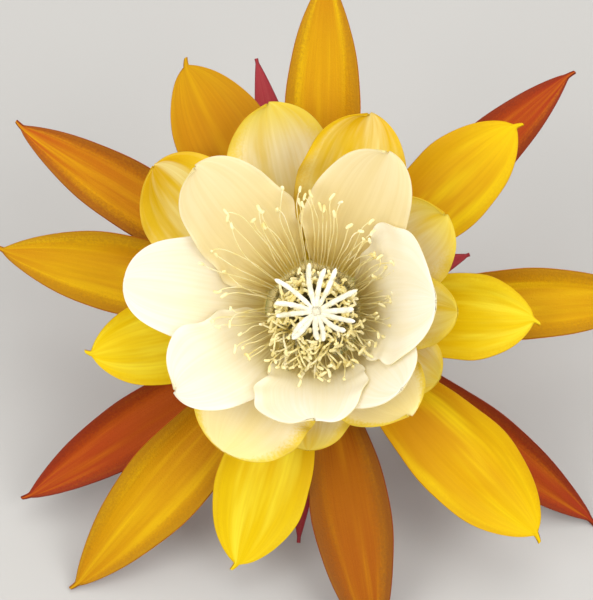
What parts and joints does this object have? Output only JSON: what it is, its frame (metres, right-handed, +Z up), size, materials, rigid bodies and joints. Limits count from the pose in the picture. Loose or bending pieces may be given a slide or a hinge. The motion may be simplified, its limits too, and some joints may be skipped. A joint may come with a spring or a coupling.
{
  "type": "orchid cactus flower",
  "caption": "Open orchid cactus flower as picked, lying on its curved floral tube, with layered tepals, stamens and a star-shaped stigma.",
  "frame": {"origin": "on the surface the flower lies on, under the middle of its bounding box", "axes": "+X to the flower's right seen from the front, -Y towards the side the open face leans to, +Z up; the flower's axis points 55 degrees up towards -Y"},
  "size_m": [0.1741, 0.1505, 0.1033],
  "materials": {
    "white": "soft translucent petal, cream white",
    "yellow": "soft translucent petal, pale to clear yellow",
    "golden": "waxy golden yellow petal",
    "outer": "waxy golden orange to red-orange sepal, grey bloom on the edges",
    "bract": "crimson scale leaf",
    "tube": "green floral tube, smooth and fleshy",
    "stamens": "cream yellow filaments and anthers, matt",
    "pistil": "white stigma and style, slightly moist"
  },
  "bodies": {
    "root": {"bract_01": "bract", "bract_02": "bract", "bract_03": "bract", "bract_04": "bract", "bract_05": "bract", "floral_tube": "tube", "golden_tepal_01": "golden", "golden_tepal_02": "golden", "golden_tepal_03": "golden", "golden_tepal_04": "golden", "golden_tepal_05": "golden", "golden_tepal_06": "golden", "outer_tepal_01": "outer", "outer_tepal_02": "outer", "outer_tepal_03": "outer", "outer_tepal_04": "outer", "outer_tepal_05": "outer", "outer_tepal_06": "outer", "outer_tepal_07": "outer", "outer_tepal_08": "outer", "outer_tepal_09": "outer", "pistil": "pistil", "stamens": "stamens", "white_tepal_01": "white", "white_tepal_02": "white", "white_tepal_03": "white", "white_tepal_04": "white", "white_tepal_05": "white", "white_tepal_06": "white", "white_tepal_07": "white", "yellow_tepal_01": "yellow", "yellow_tepal_02": "yellow", "yellow_tepal_03": "yellow", "yellow_tepal_04": "yellow", "yellow_tepal_05": "yellow", "yellow_tepal_06": "yellow", "yellow_tepal_07": "yellow", "yellow_tepal_08": "yellow", "yellow_tepal_09": "yellow"}
  },
  "joints": []
}
